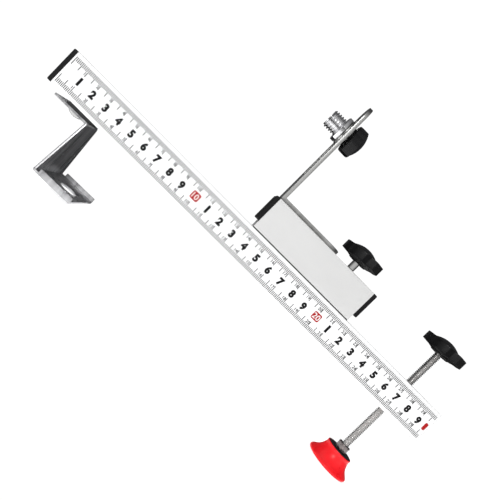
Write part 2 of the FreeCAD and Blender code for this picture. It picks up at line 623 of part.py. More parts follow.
NODES = {
    "rail": make_rail(),
    "rail_end_cap": make_rail_end_cap(),
    "scale_tape": make_scale_tape(),
    "clamp_slot_nuts": make_clamp_slot_nuts(),
    "hook_plate": make_hook_plate(),
    "hook_spacer_pad": make_hook_spacer_pad(),
    "hook_screw": make_hook_screw(),
    "hook_slot_nut": make_hook_slot_nut(),
    "slider_block": make_slider_block(),
    "slider_cap_left": make_slider_cap(BLOCK_LEFT_X, -1),
    "slider_cap_right": make_slider_cap(BLOCK_RIGHT_X, 1),
    "glide_strips": make_glide_strips(),
    "angle_bracket": make_angle_bracket(),
    "bracket_screws": make_bracket_screws(),
    "bracket_nut_strip": make_bracket_nut_strip(),
    "lock_insert": make_lock_insert(),
    "lock_pad": make_lock_pad(),
    "lock_stud": make_lock_stud(),
    "lock_knob": wing_knob(Vector(LOCK_X, 0, LOCK_KNOB_Z), AXIS_Z, LOCK_KNOB_SPIN, M5_RADIUS),
    "clamp_rod": make_clamp_rod(),
    "clamp_knob": wing_knob(Vector(CLAMP_X, 0, CLAMP_KNOB_Z), AXIS_Z, CLAMP_KNOB_SPIN, M5_RADIUS),
    "cup_nut": make_cup_nut(),
    "cup_disc": make_cup_disc(),
    "suction_cup": make_suction_cup(),
    "cup_core": make_cup_core(),
    "threaded_adapter": make_threaded_adapter(),
    "adapter_washer": make_adapter_washer(),
    "knob_washer": make_knob_washer(),
    "adapter_bolt": make_adapter_bolt(),
    "adapter_knob": make_adapter_knob(),
}

os.makedirs("parts", exist_ok=True)
for name, shape in NODES.items():
    shape.exportStep("parts/" + name + ".step")
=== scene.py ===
import math

import bmesh
import bpy
from mathutils import Matrix, Vector


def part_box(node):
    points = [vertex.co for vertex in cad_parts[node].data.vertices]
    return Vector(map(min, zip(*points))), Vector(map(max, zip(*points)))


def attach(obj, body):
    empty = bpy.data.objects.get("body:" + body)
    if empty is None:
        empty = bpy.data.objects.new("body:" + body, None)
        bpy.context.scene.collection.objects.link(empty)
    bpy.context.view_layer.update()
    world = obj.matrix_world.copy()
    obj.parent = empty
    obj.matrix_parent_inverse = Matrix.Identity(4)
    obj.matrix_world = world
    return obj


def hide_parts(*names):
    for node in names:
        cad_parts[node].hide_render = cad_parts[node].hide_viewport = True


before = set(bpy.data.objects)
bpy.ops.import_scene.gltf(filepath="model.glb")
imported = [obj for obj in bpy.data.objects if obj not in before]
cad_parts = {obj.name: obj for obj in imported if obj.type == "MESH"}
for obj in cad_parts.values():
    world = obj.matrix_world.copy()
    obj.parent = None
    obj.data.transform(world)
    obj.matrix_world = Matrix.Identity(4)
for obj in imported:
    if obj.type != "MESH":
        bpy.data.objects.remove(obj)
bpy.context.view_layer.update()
bpy.ops.object.select_all(action="DESELECT")


# ==== studio ==================================================================
# The camera stands 300 mm in front of the rail, a little above it, and is rolled so
# that the rail runs down to the right.

MM = 0.001
AIM_POINT = Vector((-1.90, 0.0, 61.14)) * MM
CAMERA_DISTANCE = 299.9 * MM
CAMERA_AZIMUTH = math.radians(5.056)
CAMERA_DROP = math.radians(2.593)
CAMERA_ROLL = math.radians(45.13)
CAMERA_LENS = 35.73
SENSOR_WIDTH = 36.0

sight = Vector((
    math.sin(CAMERA_AZIMUTH) * math.cos(CAMERA_DROP),
    math.cos(CAMERA_AZIMUTH) * math.cos(CAMERA_DROP),
    -math.sin(CAMERA_DROP),
))
level = sight.cross(Vector((0, 0, 1))).normalized()
upright = level.cross(sight)
right = level * math.cos(CAMERA_ROLL) + upright * math.sin(CAMERA_ROLL)
up = upright * math.cos(CAMERA_ROLL) - level * math.sin(CAMERA_ROLL)
stand = AIM_POINT - sight * CAMERA_DISTANCE

bpy.ops.object.camera_add()
camera = bpy.context.object
camera.name = "camera"
camera.data.lens = CAMERA_LENS
camera.data.sensor_width = SENSOR_WIDTH
camera.data.clip_start = 0.01
camera.data.clip_end = 20.0
camera.matrix_world = Matrix((
    (right.x, up.x, -sight.x, stand.x),
    (right.y, up.y, -sight.y, stand.y),
    (right.z, up.z, -sight.z, stand.z),
    (0, 0, 0, 1),
))
bpy.context.scene.camera = camera
bpy.context.scene.view_settings.view_transform = "Standard"

# Two soft boxes in front and one overhead, none of which shows in a reflection, and a
# small round lamp that does. The camera sees a white room. What the surfaces reflect
# of it is white in front, dark at the sides and behind, and darkest below.

TOOL_MIDDLE = (0.0, 0.0, 0.06)

def soft_box(name, place, aim, width, height, power):
    """Area light at a place, facing a point; sizes in metres, power in watts."""
    bpy.ops.object.light_add(type="AREA", location=place)
    light = bpy.context.object
    light.name = name
    light.data.shape = "RECTANGLE"
    light.data.size = width
    light.data.size_y = height
    light.data.energy = power
    light.visible_glossy = False
    beam = Vector(aim) - Vector(place)
    light.rotation_euler = beam.to_track_quat("-Z", "Y").to_euler()


soft_box("front_left_light", (-0.80, -1.10, 0.70), TOOL_MIDDLE, 0.70, 0.70, 5.0)
soft_box("front_right_light", (0.95, -1.00, 0.35), TOOL_MIDDLE, 0.50, 0.80, 3.2)
soft_box("top_light", (0.05, 0.10, 1.10), TOOL_MIDDLE, 0.90, 0.50, 5.0)

CATCH_LIGHT_WIDTH = 0.12
CATCH_LIGHT_POWER = 2.0
catch_place = Vector((-0.30, -1.00, 0.55))
catch_aim = Vector((0.1, 0.0, 0.03))
bpy.ops.object.light_add(type="AREA", location=catch_place)
catch_light = bpy.context.object
catch_light.name = "catch_light"
catch_light.data.shape = "DISK"
catch_light.data.size = CATCH_LIGHT_WIDTH
catch_light.data.energy = CATCH_LIGHT_POWER
catch_light.rotation_euler = (catch_aim - catch_place).to_track_quat("-Z", "Y").to_euler()

# Both ramps run on a direction: the first from the front (0) to the back (1), the
# second on how steeply the direction points up.

WHITE_WALL_ENDS = 0.05
DARK_WALL_STARTS = 0.50
DARK_WALL = (0.14, 0.14, 0.145, 1)
BELOW_SHADE = 0.10
BELOW_SLOPE = -0.22
LEVEL_SLOPE = 0.06
WALL_STRENGTH = 0.74
WHITE_ROOM_STRENGTH = 1.05

world = bpy.data.worlds.new("room")
bpy.context.scene.world = world
world.use_nodes = True
room = world.node_tree
room.nodes.clear()
room_out = room.nodes.new("ShaderNodeOutputWorld")
direction = room.nodes.new("ShaderNodeTexCoord")
split = room.nodes.new("ShaderNodeSeparateXYZ")
room.links.new(direction.outputs["Generated"], split.inputs[0])
wall_tone = room.nodes.new("ShaderNodeValToRGB")
wall_tone.color_ramp.elements[0].position = WHITE_WALL_ENDS
wall_tone.color_ramp.elements[0].color = (1.0, 1.0, 1.0, 1)
wall_tone.color_ramp.elements[1].position = DARK_WALL_STARTS
wall_tone.color_ramp.elements[1].color = DARK_WALL
half_range = room.nodes.new("ShaderNodeMapRange")
half_range.inputs["From Min"].default_value = -1.0
room.links.new(split.outputs["Y"], half_range.inputs["Value"])
room.links.new(half_range.outputs["Result"], wall_tone.inputs["Fac"])
low_tone = room.nodes.new("ShaderNodeMapRange")
low_tone.inputs["From Min"].default_value = BELOW_SLOPE
low_tone.inputs["From Max"].default_value = LEVEL_SLOPE
low_tone.inputs["To Min"].default_value = BELOW_SHADE
room.links.new(split.outputs["Z"], low_tone.inputs["Value"])
shaded = room.nodes.new("ShaderNodeVectorMath")
shaded.operation = "SCALE"
room.links.new(wall_tone.outputs["Color"], shaded.inputs[0])
room.links.new(low_tone.outputs["Result"], shaded.inputs["Scale"])
wall = room.nodes.new("ShaderNodeBackground")
wall.inputs["Strength"].default_value = WALL_STRENGTH
room.links.new(shaded.outputs["Vector"], wall.inputs["Color"])
white_room = room.nodes.new("ShaderNodeBackground")
white_room.inputs["Color"].default_value = (1, 1, 1, 1)
white_room.inputs["Strength"].default_value = WHITE_ROOM_STRENGTH
seen = room.nodes.new("ShaderNodeLightPath")
choice = room.nodes.new("ShaderNodeMixShader")
room.links.new(seen.outputs["Is Camera Ray"], choice.inputs["Fac"])
room.links.new(wall.outputs["Background"], choice.inputs[1])
room.links.new(white_room.outputs["Background"], choice.inputs[2])
room.links.new(choice.outputs["Shader"], room_out.inputs["Surface"])

# The floor is a plain white card, 0.2 mm below the cup's rim. It glows a little, so
# that it stays nearly white under the soft light.

FLOOR_LENGTH = 0.70
FLOOR_WIDTH = 0.24
FLOOR_PLACE = (0, -0.06, -0.0002)
FLOOR_GLOW = 0.62

bpy.ops.mesh.primitive_plane_add(size=1.0, location=FLOOR_PLACE)
floor = bpy.context.object
floor.name = "floor"
floor.scale = (FLOOR_LENGTH, FLOOR_WIDTH, 1)
card = bpy.data.materials.new("white_card")
card.use_nodes = True
card_shader = card.node_tree.nodes["Principled BSDF"]
card_shader.inputs["Base Color"].default_value = (0.93, 0.93, 0.93, 1)
card_shader.inputs["Roughness"].default_value = 0.9
card_shader.inputs["Specular IOR Level"].default_value = 0.0
card_shader.inputs["Emission Color"].default_value = (1, 1, 1, 1)
card_shader.inputs["Emission Strength"].default_value = FLOOR_GLOW
floor.data.materials.append(card)


# ==== rail ====================================================================
# A 300 mm aluminium extrusion with a T-slot above and below, powder coated white.
# The coat is satin, with a fine orange-peel skin, and its corners are painted a darker grey as
# painted shade.


def finish(name, colour, roughness, metallic=0.0, specular=0.5):
    """A material with its plain values set on the shader's own sockets."""
    material = bpy.data.materials.new(name)
    material.use_nodes = True
    shader = material.node_tree.nodes["Principled BSDF"]
    shader.inputs["Base Color"].default_value = (*colour, 1)
    shader.inputs["Roughness"].default_value = roughness
    shader.inputs["Metallic"].default_value = metallic
    shader.inputs["Specular IOR Level"].default_value = specular
    return material


def grain(material, scale, stretch=(1, 1, 1), detail=4.0):
    """Noise on object coordinates, stretched along a direction. Gives its value socket."""
    tree = material.node_tree
    where = tree.nodes.new("ShaderNodeTexCoord")
    mapping = tree.nodes.new("ShaderNodeMapping")
    mapping.inputs["Scale"].default_value = stretch
    noise = tree.nodes.new("ShaderNodeTexNoise")
    noise.inputs["Scale"].default_value = scale
    noise.inputs["Detail"].default_value = detail
    tree.links.new(where.outputs["Object"], mapping.inputs["Vector"])
    tree.links.new(mapping.outputs["Vector"], noise.inputs["Vector"])
    return noise.outputs["Fac"]


def blend_colour(material, value, stops):
    """Colours the material by a value, through (position, colour) stops."""
    tree = material.node_tree
    ramp = tree.nodes.new("ShaderNodeValToRGB")
    first, last = ramp.color_ramp.elements
    first.position, first.color = stops[0][0], (*stops[0][1], 1)
    last.position, last.color = stops[-1][0], (*stops[-1][1], 1)
    for position, colour in stops[1:-1]:
        ramp.color_ramp.elements.new(position).color = (*colour, 1)
    tree.links.new(value, ramp.inputs["Fac"])
    tree.links.new(ramp.outputs["Color"], tree.nodes["Principled BSDF"].inputs["Base Color"])
    return ramp.outputs["Color"]


# Nearly all of a noise's values lie between these two.
NOISE_LOW = 0.3
NOISE_HIGH = 0.7


def vary_gloss(material, value, low, high):
    """Lets the roughness wander between two values."""
    tree = material.node_tree
    spread = tree.nodes.new("ShaderNodeMapRange")
    spread.inputs["From Min"].default_value = NOISE_LOW
    spread.inputs["From Max"].default_value = NOISE_HIGH
    spread.inputs["To Min"].default_value = low
    spread.inputs["To Max"].default_value = high
    tree.links.new(value, spread.inputs["Value"])
    tree.links.new(spread.outputs["Result"], tree.nodes["Principled BSDF"].inputs["Roughness"])


def raise_grain(material, value, height, strength, eased=0.25):
    """Bump of a given height in metres from a value, over edges eased by a radius in mm."""
    tree = material.node_tree
    bump = tree.nodes.new("ShaderNodeBump")
    bump.inputs["Strength"].default_value = strength
    bump.inputs["Distance"].default_value = height
    tree.links.new(value, bump.inputs["Height"])
    if eased:
        ease = tree.nodes.new("ShaderNodeBevel")
        ease.samples = 16
        ease.inputs["Radius"].default_value = eased * MM
        tree.links.new(ease.outputs["Normal"], bump.inputs["Normal"])
    tree.links.new(bump.outputs["Normal"], tree.nodes["Principled BSDF"].inputs["Normal"])


# Cosine between the flat and the rounded normal where the painted edge light and shade begins,
# and where it is full.
EDGE_PAINT_BEGINS = 0.995
EDGE_PAINT_FULL = 0.80


def rub_edges(material, colour, edge_tone, radius, amount):
    """Paints a colour in where the surface turns an edge: painted shade on a light part, a
    painted highlight on a dark one.
    """
    tree = material.node_tree
    ease = tree.nodes.new("ShaderNodeBevel")
    ease.samples = 12
    ease.inputs["Radius"].default_value = radius
    flat = tree.nodes.new("ShaderNodeNewGeometry")
    turn = tree.nodes.new("ShaderNodeVectorMath")
    turn.operation = "DOT_PRODUCT"
    tree.links.new(ease.outputs["Normal"], turn.inputs[0])
    tree.links.new(flat.outputs["Normal"], turn.inputs[1])
    edge = tree.nodes.new("ShaderNodeMapRange")
    edge.inputs["From Min"].default_value = EDGE_PAINT_BEGINS
    edge.inputs["From Max"].default_value = EDGE_PAINT_FULL
    edge.inputs["To Min"].default_value = 0.0
    edge.inputs["To Max"].default_value = amount
    tree.links.new(turn.outputs["Value"], edge.inputs["Value"])
    mix = tree.nodes.new("ShaderNodeMix")
    mix.data_type = "RGBA"
    # Inputs 0, 6 and 7 of a colour mix are its share and its two colours; output 2 is the colour.
    mix.inputs[7].default_value = (*edge_tone, 1)
    tree.links.new(edge.outputs["Result"], mix.inputs[0])
    tree.links.new(colour, mix.inputs[6])
    tree.links.new(mix.outputs[2], tree.nodes["Principled BSDF"].inputs["Base Color"])


def paint_node(name, material):
    """Gives a drawn node its material."""
    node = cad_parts[name]
    node.data.materials.clear()
    node.data.materials.append(material)


rail_paint = finish("rail_paint", (0.95, 0.95, 0.95), 0.38)
cloud = grain(rail_paint, 60, detail=5)
coat = blend_colour(rail_paint, cloud, [(0.3, (0.93, 0.935, 0.94)), (0.7, (0.96, 0.96, 0.96))])
# The rail's edges are painted a darker grey: painted shade along its corners.
rub_edges(rail_paint, coat, (0.55, 0.56, 0.58), 0.5 * MM, 0.6)
vary_gloss(rail_paint, cloud, 0.32, 0.44)
raise_grain(rail_paint, grain(rail_paint, 1800, detail=2), 0.01 * MM, 0.4)
paint_node("rail", rail_paint)


# ==== rail end cap ============================================================
# A moulded black plug pushed into the rail's left end. The clamp end stays open.

black_plastic = finish("black_plastic", (0.007, 0.007, 0.0075), 0.44, specular=0.22)
soot = grain(black_plastic, 90, detail=4)
skin = blend_colour(black_plastic, soot, [
    (0.3, (0.005, 0.005, 0.0055)), (0.7, (0.010, 0.010, 0.011))])
# Its edges are painted a lighter grey: a painted highlight.
rub_edges(black_plastic, skin, (0.05, 0.05, 0.055), 0.35 * MM, 0.5)
vary_gloss(black_plastic, soot, 0.36, 0.50)
raise_grain(black_plastic, grain(black_plastic, 2600, detail=3), 0.012 * MM, 0.5)


def apply_all(piece):
    """Applies every modifier of a piece, in order."""
    bpy.ops.object.select_all(action="DESELECT")
    piece.select_set(True)
    bpy.context.view_layer.objects.active = piece
    for modifier in list(piece.modifiers):
        bpy.ops.object.modifier_apply(modifier=modifier.name)


WELD = 1e-6
FLAT_WITHIN = math.radians(0.6)
SHARP_FROM = math.radians(40)
SMOOTH_BELOW = math.radians(35)


def eased_copy(node, name, radius, material, body):
    """Stands in for a hard-edged node: the same shape, its edges rounded to a radius in mm."""
    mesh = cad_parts[node].data.copy()
    mesh.materials.clear()
    piece = bpy.data.objects.new(name, mesh)
    bpy.context.scene.collection.objects.link(piece)
    bpy.ops.object.select_all(action="DESELECT")
    piece.select_set(True)
    bpy.context.view_layer.objects.active = piece
    bpy.ops.object.mode_set(mode="EDIT")
    bpy.ops.mesh.select_all(action="SELECT")
    bpy.ops.mesh.remove_doubles(threshold=WELD)
    bpy.ops.mesh.dissolve_limited(angle_limit=FLAT_WITHIN)
    bpy.ops.object.mode_set(mode="OBJECT")
    round_off = piece.modifiers.new("eased_edges", "BEVEL")
    round_off.limit_method = "ANGLE"
    round_off.angle_limit = SHARP_FROM
    round_off.width = radius * MM
    round_off.segments = 3
    round_off.use_clamp_overlap = False
    apply_all(piece)
    bpy.ops.object.shade_smooth_by_angle(angle=SMOOTH_BELOW)
    piece.data.materials.append(material)
    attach(piece, body)
    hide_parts(node)


eased_copy("rail_end_cap", "rail_end_plug", 0.35, black_plastic, "frame")


# ==== scale tape ==============================================================
# A printed white film stuck to the rail's front, with a clear gloss coat. The print
# is a millimetre scale along both edges, centimetre figures between, tens on red.

film = finish("scale_film", (0.97, 0.97, 0.975), 0.30)
haze = grain(film, 45, detail=4)
blend_colour(film, haze, [(0.3, (0.955, 0.96, 0.965)), (0.7, (0.98, 0.98, 0.985))])
vary_gloss(film, haze, 0.26, 0.36)
raise_grain(film, grain(film, 900, detail=2), 0.004 * MM, 0.4)
paint_node("scale_tape", film)

TAPE_LOW, TAPE_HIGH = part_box("scale_tape")
TAPE_MID_Z = (TAPE_LOW.z + TAPE_HIGH.z) / 2
PRINT_Y = TAPE_LOW.y
INK_DEPTH = 0.03 * MM
SCALE_ZERO_X = TAPE_LOW.x + 1.3 * MM
MILLIMETRES = 297
MARK_OUTER = 9.2 * MM
SHORT_MARK = 2.7 * MM
LONG_MARK = 5.4 * MM
MARK_LAP = 0.2 * MM
MARK_WIDTH = 0.46 * MM


def ink(name, colour, speckle):
    """Printing ink: a little uneven in tone, with a dull gloss."""
    material = finish(name, colour, 0.45, specular=0.2)
    dots = grain(material, 1500, detail=3)
    light = tuple(channel + (1 - channel) * speckle for channel in colour)
    blend_colour(material, dots, [(0.35, colour), (0.75, light)])
    vary_gloss(material, dots, 0.38, 0.52)
    return material


mark_ink = ink("mark_ink", (0.035, 0.036, 0.037), 0.05)
figure_ink = ink("figure_ink", (0.004, 0.004, 0.0045), 0.01)
red_ink = ink("red_ink", (0.42, 0.004, 0.006), 0.01)
white_ink = ink("white_ink", (0.92, 0.91, 0.90), 0.02)


def join_pieces(pieces, name):
    """Joins pieces into the first one, named afresh, at the origin."""
    bpy.ops.object.select_all(action="DESELECT")
    for piece in pieces:
        piece.select_set(True)
    bpy.context.view_layer.objects.active = pieces[0]
    bpy.ops.object.transform_apply(location=True, rotation=True, scale=True)
    bpy.ops.object.join()
    joined = bpy.context.object
    joined.name = name
    joined.data.name = name
    return joined


def row_of_marks(x, z, length, step, count):
    """A row of equal print strokes along the rail, from one stroke and an array."""
    bpy.ops.mesh.primitive_cube_add(size=1, location=(x, PRINT_Y, z))
    stroke = bpy.context.object
    stroke.scale = (MARK_WIDTH, 2 * INK_DEPTH, length)
    bpy.ops.object.transform_apply(location=True, rotation=True, scale=True)
    row = stroke.modifiers.new("row", "ARRAY")
    row.use_relative_offset = False
    row.use_constant_offset = True
    row.constant_offset_displace = (step, 0, 0)
    row.count = count
    bpy.ops.object.modifier_apply(modifier="row")
    return stroke


marks = []
for side in (-1, 1):
    short_z = TAPE_MID_Z + side * (MARK_OUTER - SHORT_MARK / 2)
    long_z = TAPE_MID_Z + side * (MARK_OUTER - (SHORT_MARK + LONG_MARK - MARK_LAP) / 2)
    marks.append(row_of_marks(SCALE_ZERO_X, short_z, SHORT_MARK, MM, MILLIMETRES + 1))
    rest = LONG_MARK - SHORT_MARK + MARK_LAP
    marks.append(row_of_marks(SCALE_ZERO_X, long_z, rest, 5 * MM, MILLIMETRES // 5 + 1))
scale_marks = join_pieces(marks, "scale_marks")
scale_marks.data.materials.append(mark_ink)
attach(scale_marks, "frame")


CAPITAL_SHARE = 0.70


def figure(text, x, z, height, weight, proud=INK_DEPTH):
    """One printed number, centred on a point of the tape, made into a mesh."""
    bpy.ops.object.text_add()
    number = bpy.context.object
    number.data.body = text
    number.data.align_x = "CENTER"
    number.data.align_y = "CENTER"
    number.data.size = height / CAPITAL_SHARE
    number.data.offset = weight
    number.data.extrude = proud
    number.data.resolution_u = 4
    bpy.ops.object.convert(target="MESH")
    number.rotation_euler = (math.pi / 2, 0, 0)
    bpy.ops.object.transform_apply(location=False, rotation=True, scale=False)
    corners = [Vector(corner) for corner in number.bound_box]
    middle = sum(corners, Vector()) / 8
    number.location = (x - middle.x, PRINT_Y, z - middle.z)
    return number


BIG_FIGURE = 4.3 * MM
BIG_FIGURE_Z = TAPE_MID_Z - 0.1 * MM
BOLD = 0.40 * MM
BOLDER_ONE = 0.12 * MM
SMALL_FIGURE = 1.9 * MM
SMALL_FIGURE_OUT = 5.2 * MM
SMALL_BOLD = 0.07 * MM
figures = []
small_figures = []
for centimetre in range(1, 30):
    x = SCALE_ZERO_X + centimetre * 10 * MM
    last_digit = centimetre % 10
    if last_digit:
        # The 9 is a 6 turned upside down.
        turned_six = last_digit == 9
        text = "6" if turned_six else str(last_digit)
        weight = BOLD + BOLDER_ONE * (last_digit == 1)
        digit = figure(text, x, BIG_FIGURE_Z, BIG_FIGURE, weight)
        if turned_six:
            digit.data.transform(Matrix.Rotation(math.pi, 4, "Y"))
            shift = (Vector(digit.bound_box[0]) + Vector(digit.bound_box[6])) / 2
            digit.location = (x - shift.x, PRINT_Y, BIG_FIGURE_Z - shift.z)
        figures.append(digit)
    for side in (-1, 1):
        z = TAPE_MID_Z + side * SMALL_FIGURE_OUT
        beside = (1.0 + 0.5 * (centimetre > 9)) * MM
        small_figures.append(figure(str(centimetre), x - beside, z, SMALL_FIGURE, SMALL_BOLD))
scale_figures = join_pieces(figures, "scale_figures")
bpy.ops.object.mode_set(mode="EDIT")
bpy.ops.mesh.select_all(action="SELECT")
bpy.ops.mesh.remove_doubles(threshold=2e-6)
bpy.ops.mesh.fill_holes(sides=0)
bpy.ops.mesh.select_all(action="SELECT")
bpy.ops.mesh.normals_make_consistent(inside=False)
bpy.ops.object.mode_set(mode="OBJECT")
scale_figures.data.materials.append(figure_ink)
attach(scale_figures, "frame")
scale_small_figures = join_pieces(small_figures, "scale_small_figures")
scale_small_figures.data.materials.append(mark_ink)
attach(scale_small_figures, "frame")

LABEL_HEIGHT = 5.1 * MM
LABEL_WIDTH = 5.6 * MM
LABEL_CORNER = 0.9 * MM
LABEL_RAISED = 0.4 * MM
END_LABEL_START = 294.8 * MM
END_LABEL_MARGIN = 0.1 * MM
TENS_HEIGHT = 3.5 * MM
TENS_BOLD = 0.06 * MM
TENS_PROUD = 1.6 * INK_DEPTH


def red_label(left, right, z):
    """A red block of print with rounded corners, from one end to the other."""
    bpy.ops.mesh.primitive_cube_add(size=1, location=((left + right) / 2, PRINT_Y, z))
    label = bpy.context.object
    label.scale = (right - left, 2 * INK_DEPTH, LABEL_HEIGHT)
    bpy.ops.object.transform_apply(location=True, rotation=True, scale=True)
    bpy.ops.object.mode_set(mode="EDIT")
    bpy.ops.mesh.select_all(action="DESELECT")
    bpy.ops.mesh.select_mode(type="EDGE")
    mesh = bmesh.from_edit_mesh(label.data)
    for edge in mesh.edges:
        start, end = edge.verts
        edge.select = abs(start.co.x - end.co.x) < 1e-7 and abs(start.co.z - end.co.z) < 1e-7
    bmesh.update_edit_mesh(label.data)
    bpy.ops.mesh.bevel(offset=LABEL_CORNER, segments=5, affect="EDGES")
    bpy.ops.object.mode_set(mode="OBJECT")
    return label


labels = []
tens = []
for ten in (1, 2):
    x = SCALE_ZERO_X + ten * 100 * MM
    z = TAPE_MID_Z + LABEL_RAISED
    labels.append(red_label(x - LABEL_WIDTH / 2, x + LABEL_WIDTH / 2, z))
    tens.append(figure(str(ten * 10), x, z, TENS_HEIGHT, TENS_BOLD, TENS_PROUD))
labels.append(red_label(
    SCALE_ZERO_X + END_LABEL_START, TAPE_HIGH.x - END_LABEL_MARGIN, TAPE_MID_Z - LABEL_RAISED))
scale_labels = join_pieces(labels, "scale_labels")
scale_labels.data.materials.append(red_ink)
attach(scale_labels, "frame")
scale_tens = join_pieces(tens, "scale_tens")
scale_tens.data.materials.append(white_ink)
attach(scale_tens, "frame")


# ==== hook ====================================================================
# One piece of 1.5 mm stainless sheet, sawn, pressed and bent: flange, widening leg
# and foot with raised sides. It is brushed along the leg and screwed on over a pad.

hook_steel = finish("hook_steel", (0.50, 0.50, 0.51), 0.30, metallic=1.0)
leg_streaks = grain(hook_steel, 320, (1, 1, 0.05), detail=1)
blend_colour(hook_steel, leg_streaks, [
    (0.30, (0.40, 0.40, 0.41)), (0.55, (0.50, 0.50, 0.51)), (0.75, (0.62, 0.62, 0.63))])
vary_gloss(hook_steel, leg_streaks, 0.24, 0.42)
raise_grain(hook_steel, grain(hook_steel, 160, detail=1), 0.01 * MM, 0.4, eased=0)
eased_copy("hook_plate", "bent_hook", 0.22, hook_steel, "frame")

pad_rubber = finish("pad_rubber", (0.016, 0.016, 0.016), 0.7)
crumb = grain(pad_rubber, 700, detail=5)
blend_colour(pad_rubber, crumb, [(0.3, (0.010, 0.010, 0.010)), (0.7, (0.026, 0.026, 0.027))])
vary_gloss(pad_rubber, crumb, 0.6, 0.8)
raise_grain(pad_rubber, crumb, 0.05 * MM, 0.5)
paint_node("hook_spacer_pad", pad_rubber)

plated_steel = finish("plated_steel", (0.72, 0.72, 0.71), 0.24, metallic=1.0)
plate_spots = grain(plated_steel, 160, detail=2)
blend_colour(plated_steel, plate_spots, [(0.3, (0.50, 0.50, 0.49)), (0.7, (0.64, 0.64, 0.63))])
vary_gloss(plated_steel, plate_spots, 0.18, 0.34)
raise_grain(plated_steel, plate_spots, 0.01 * MM, 0.3, eased=0.2)
eased_copy("hook_screw", "hook_screw_domed", 0.3, plated_steel, "frame")
for name in ("hook_slot_nut", "clamp_slot_nuts"):
    paint_node(name, plated_steel)


# ==== slider block ============================================================
# An aluminium extrusion sprayed light grey, with a T-foot that runs in the rail's
# upper slot on thin glide strips. Moulded black caps close its two ends.

block_paint = finish("block_paint", (0.70, 0.70, 0.695), 0.40)
drift = grain(block_paint, 55, (0.3, 1, 1), detail=5)
coat = blend_colour(block_paint, drift, [(0.3, (0.67, 0.67, 0.665)), (0.7, (0.72, 0.72, 0.715))])
# Its edges are painted a darker grey: painted shade along its corners.
rub_edges(block_paint, coat, (0.50, 0.51, 0.53), 0.45 * MM, 0.5)
vary_gloss(block_paint, drift, 0.34, 0.46)
raise_grain(block_paint, grain(block_paint, 1500, detail=2), 0.012 * MM, 0.4)
paint_node("slider_block", block_paint)
for end in ("left", "right"):
    eased_copy(
        "slider_cap_" + end, "block_end_" + end, 0.4, black_plastic, "carriage")

glide_nylon = finish("glide_nylon", (0.03, 0.03, 0.03), 0.5)
wear = grain(glide_nylon, 400, (0.1, 1, 1), detail=4)
blend_colour(glide_nylon, wear, [(0.3, (0.02, 0.02, 0.02)), (0.7, (0.05, 0.05, 0.05))])
vary_gloss(glide_nylon, wear, 0.35, 0.6)
paint_node("glide_strips", glide_nylon)


# ==== angle bracket ===========================================================
# 2.5 mm bright steel angle. Its foot is held on the block by two countersunk screws
# into a tapped strip, and its leg has the slot along which the adapter is set.

bracket_steel = finish("bracket_steel", (0.46, 0.46, 0.45), 0.30, metallic=1.0)
bracket_streaks = grain(bracket_steel, 240, (1, 1, 0.06), detail=1)
blend_colour(bracket_steel, bracket_streaks, [
    (0.30, (0.38, 0.38, 0.37)), (0.55, (0.46, 0.46, 0.45)), (0.75, (0.56, 0.56, 0.55))])
vary_gloss(bracket_steel, bracket_streaks, 0.26, 0.36)
raise_grain(bracket_steel, grain(bracket_steel, 160, detail=1), 0.01 * MM, 0.3, eased=0)
eased_copy("angle_bracket", "bent_bracket", 0.3, bracket_steel, "carriage")
for name in (
        "bracket_screws", "bracket_nut_strip", "adapter_washer", "knob_washer", "adapter_bolt"):
    paint_node(name, plated_steel)


# ==== wing knobs ==============================================================
# Three equal knobs of black moulded plastic, each a domed hub on a round base with
# two wings. The lock, clamp and adapter knobs differ only in place and in their turn.

knob_plastic = finish("knob_plastic", (0.006, 0.006, 0.0065), 0.30, specular=0.30)
sheen = grain(knob_plastic, 120, detail=4)
skin = blend_colour(knob_plastic, sheen, [
    (0.3, (0.0045, 0.0045, 0.005)), (0.7, (0.008, 0.008, 0.0085))])
# Its edges are painted a lighter grey: a painted highlight on the rims and wing ends.
rub_edges(knob_plastic, skin, (0.05, 0.05, 0.052), 0.35 * MM, 0.4)
vary_gloss(knob_plastic, sheen, 0.24, 0.38)
raise_grain(knob_plastic, grain(knob_plastic, 2200, detail=3), 0.012 * MM, 0.4)

KNOB_HEIGHT = 10.6 * MM
KNOB_SHOULDER = 7.4 * MM
KNOB_CROWN = 9.6 * MM
KNOB_BASE = 6.4 * MM
KNOB_SKIRT = 0.4 * MM
BASE_RIM = 1.0 * MM
BASE_HOLLOW = 0.5 * MM
WING_LOW = 1.3 * MM
WING_HIGH = 7.7 * MM
WING_TAPER = 0.975
WING_ARC = math.radians(45)
WING_ROOT = 6.3
WING_STATIONS = ((10.6, 6.0), (12.3, 4.9), (14.1, 4.0), (14.5, 3.6))
FACING = 0.9
dome_rise = KNOB_HEIGHT - KNOB_SHOULDER
dome_radius = (KNOB_CROWN ** 2 + dome_rise ** 2) / (2 * dome_rise)


def dome_width(height):
    """Radius of the knob's dome at a height above its base."""
    return math.sqrt(dome_radius ** 2 - (height - KNOB_HEIGHT + dome_radius) ** 2)


def pick_faces(piece, wanted):
    """In edit mode, selects only the faces that a test picks out."""
    bpy.ops.mesh.select_mode(type="FACE")
    bpy.ops.mesh.select_all(action="DESELECT")
    mesh = bmesh.from_edit_mesh(piece.data)
    mesh.normal_update()
    for face in mesh.faces:
        face.select = wanted(face)
    mesh.select_flush_mode()
    bmesh.update_edit_mesh(piece.data)


def grow_rings(piece, radius, rings):
    """Extrudes the picked top face up through (radius, height) rings round the Z axis."""
    height = max(vertex.co.z for vertex in bmesh.from_edit_mesh(piece.data).verts)
    for next_radius, next_height in rings:
        bpy.ops.mesh.extrude_region_move(
            TRANSFORM_OT_translate={"value": (0, 0, next_height - height)})
        ratio = next_radius / radius
        bpy.ops.transform.resize(value=(ratio, ratio, 1), center_override=(0, 0, next_height))
        radius, height = next_radius, next_height


